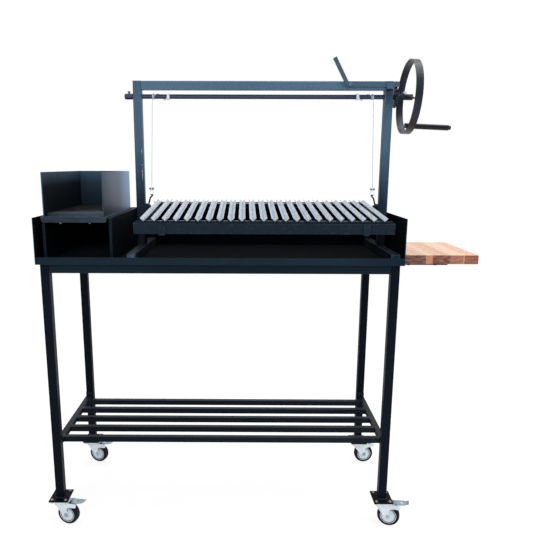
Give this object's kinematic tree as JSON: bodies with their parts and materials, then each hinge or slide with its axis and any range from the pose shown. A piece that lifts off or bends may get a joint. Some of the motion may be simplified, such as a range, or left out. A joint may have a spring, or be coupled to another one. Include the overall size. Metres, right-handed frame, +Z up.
{
  "type": "santa maria grill",
  "caption": "Wheeled steel grill stand with an open tray, a firewood basket, a wooden side board and a carriage of angle bars hung by two cables from a hand-wound shaft.",
  "frame": {"origin": "bottom centre of the whole part, on the floor under its box", "axes": "+X to the right seen from the open front, +Y to the back, +Z up"},
  "size_m": [1.5106, 0.5486, 1.6566],
  "materials": {
    "leg_paint": "satin blue-black paint",
    "arch_paint": "satin slate-blue paint",
    "tray_paint": "matt black paint",
    "basket_paint": "satin dark paint",
    "dark_paint": "satin dark grey paint",
    "grip_lacquer": "glossy black lacquer",
    "zinc": "pale zinc plate",
    "bare_steel": "brushed bare steel",
    "cable_steel": "stranded steel wire",
    "hub_plastic": "grey moulded plastic",
    "tyre_rubber": "dark grey rubber",
    "board_wood": "pale oiled wood, laid in strips"
  },
  "bodies": {
    "stand": {"leg_front_left": "leg_paint", "leg_front_right": "leg_paint", "leg_rear_left": "leg_paint", "leg_rear_right": "leg_paint", "top_rail_front": "leg_paint", "top_rail_rear": "leg_paint", "top_rail_left": "leg_paint", "top_rail_right": "leg_paint", "shelf_rack": "leg_paint", "caster_plate_front_left": "zinc", "caster_plate_front_right": "zinc", "caster_plate_rear_left": "zinc", "caster_plate_rear_right": "zinc", "tray": "tray_paint", "arch_post_left": "arch_paint", "arch_post_right": "arch_paint", "arch_foot_left": "arch_paint", "arch_foot_right": "arch_paint", "arch_beam": "arch_paint", "pawl_pivot_bolt": "arch_paint", "basket_panel_left": "basket_paint", "basket_panel_right": "basket_paint", "basket_platform": "basket_paint", "basket_box": "basket_paint", "basket_grate": "bare_steel", "side_board": "board_wood", "board_bracket": "leg_paint", "cable_left": "cable_steel", "cable_right": "cable_steel"},
    "swivel_front_left": {"caster_fork_front_left": "zinc"},
    "wheel_front_left": {"caster_hub_front_left": "hub_plastic", "caster_tyre_front_left": "tyre_rubber"},
    "pedal_front_left": {"caster_pedal_front_left": "zinc"},
    "swivel_front_right": {"caster_fork_front_right": "zinc"},
    "wheel_front_right": {"caster_hub_front_right": "hub_plastic", "caster_tyre_front_right": "tyre_rubber"},
    "pedal_front_right": {"caster_pedal_front_right": "zinc"},
    "swivel_rear_left": {"caster_fork_rear_left": "zinc"},
    "wheel_rear_left": {"caster_hub_rear_left": "hub_plastic", "caster_tyre_rear_left": "tyre_rubber"},
    "pedal_rear_left": {"caster_pedal_rear_left": "zinc"},
    "swivel_rear_right": {"caster_fork_rear_right": "zinc"},
    "wheel_rear_right": {"caster_hub_rear_right": "hub_plastic", "caster_tyre_rear_right": "tyre_rubber"},
    "pedal_rear_right": {"caster_pedal_rear_right": "zinc"},
    "carriage": {"carriage_frame": "dark_paint", "grill_grate": "bare_steel", "carriage_guide_left": "dark_paint", "carriage_guide_right": "dark_paint", "cable_clip_left": "zinc", "cable_clip_right": "zinc"},
    "gutter": {"grease_gutter": "dark_paint"},
    "shaft": {"winding_shaft": "dark_paint", "shaft_collar": "dark_paint", "ratchet_wheel": "dark_paint", "handwheel": "dark_paint", "cable_winding_left": "cable_steel", "cable_winding_right": "cable_steel"},
    "grip": {"crank_handle": "grip_lacquer"},
    "pawl": {"pawl_lever": "arch_paint"}
  },
  "joints": [
    {"name": "swivel_front_left_turn", "type": "hinge", "parent": "stand", "child": "swivel_front_left", "pos_m": [-0.7213, -0.22567, 0.09], "axis": [0, 0, 1], "continuous": true},
    {"name": "wheel_front_left_roll", "type": "hinge", "parent": "swivel_front_left", "child": "wheel_front_left", "pos_m": [-0.69438, -0.23339, 0.04], "axis": [0.2756, 0.9613, 0], "continuous": true},
    {"name": "pedal_front_left_press", "type": "hinge", "parent": "swivel_front_left", "child": "pedal_front_left", "pos_m": [-0.67131, -0.24, 0.0825], "axis": [0.2756, 0.9613, 0], "range_deg": [0, 8]},
    {"name": "swivel_front_right_turn", "type": "hinge", "parent": "stand", "child": "swivel_front_right", "pos_m": [0.4487, -0.22567, 0.09], "axis": [0, 0, 1], "continuous": true},
    {"name": "wheel_front_right_roll", "type": "hinge", "parent": "swivel_front_right", "child": "wheel_front_right", "pos_m": [0.47562, -0.23339, 0.04], "axis": [0.2756, 0.9613, 0], "continuous": true},
    {"name": "pedal_front_right_press", "type": "hinge", "parent": "swivel_front_right", "child": "pedal_front_right", "pos_m": [0.49869, -0.24, 0.0825], "axis": [0.2756, 0.9613, 0], "range_deg": [0, 8]},
    {"name": "swivel_rear_left_turn", "type": "hinge", "parent": "stand", "child": "swivel_rear_left", "pos_m": [-0.7213, 0.23333, 0.09], "axis": [0, 0, 1], "continuous": true},
    {"name": "wheel_rear_left_roll", "type": "hinge", "parent": "swivel_rear_left", "child": "wheel_rear_left", "pos_m": [-0.69438, 0.22561, 0.04], "axis": [0.2756, 0.9613, 0], "continuous": true},
    {"name": "pedal_rear_left_press", "type": "hinge", "parent": "swivel_rear_left", "child": "pedal_rear_left", "pos_m": [-0.67131, 0.219, 0.0825], "axis": [0.2756, 0.9613, 0], "range_deg": [0, 8]},
    {"name": "swivel_rear_right_turn", "type": "hinge", "parent": "stand", "child": "swivel_rear_right", "pos_m": [0.4487, 0.23333, 0.09], "axis": [0, 0, 1], "continuous": true},
    {"name": "wheel_rear_right_roll", "type": "hinge", "parent": "swivel_rear_right", "child": "wheel_rear_right", "pos_m": [0.47663, 0.23529, 0.04], "axis": [-0.0698, 0.9976, 0], "continuous": true},
    {"name": "pedal_rear_right_press", "type": "hinge", "parent": "swivel_rear_right", "child": "pedal_rear_right", "pos_m": [0.50057, 0.23696, 0.0825], "axis": [-0.0698, 0.9976, 0], "range_deg": [0, 8]},
    {"name": "carriage_lift", "type": "slide", "parent": "stand", "child": "carriage", "axis": [0, 0, 1], "range_m": [-0.05842, 0.26294], "deforming": ["cable_left", "cable_right"]},
    {"name": "shaft_spin", "type": "hinge", "parent": "stand", "child": "shaft", "pos_m": [-0.1363, 0.01433, 1.525], "axis": [1, 0, 0], "range_deg": [-1620, 360]},
    {"name": "grip_turn", "type": "hinge", "parent": "shaft", "child": "grip", "pos_m": [0.53574, -0.03877, 1.42252], "axis": [0.999, 0, -0.0436], "continuous": true},
    {"name": "pawl_swing", "type": "hinge", "parent": "stand", "child": "pawl", "pos_m": [0.3127, -0.00967, 1.5655], "axis": [0, 1, 0], "range_deg": [-8, 1.5]},
    {"name": "gutter_lift_off", "type": "slide", "parent": "carriage", "child": "gutter", "axis": [0, -0.0872, 0.9962], "range_m": [0, 0.06]}
  ],
  "couplings": [
    {"joint": "shaft_spin", "follows": "carriage_lift", "rad_per_m": -107.53}
  ]
}
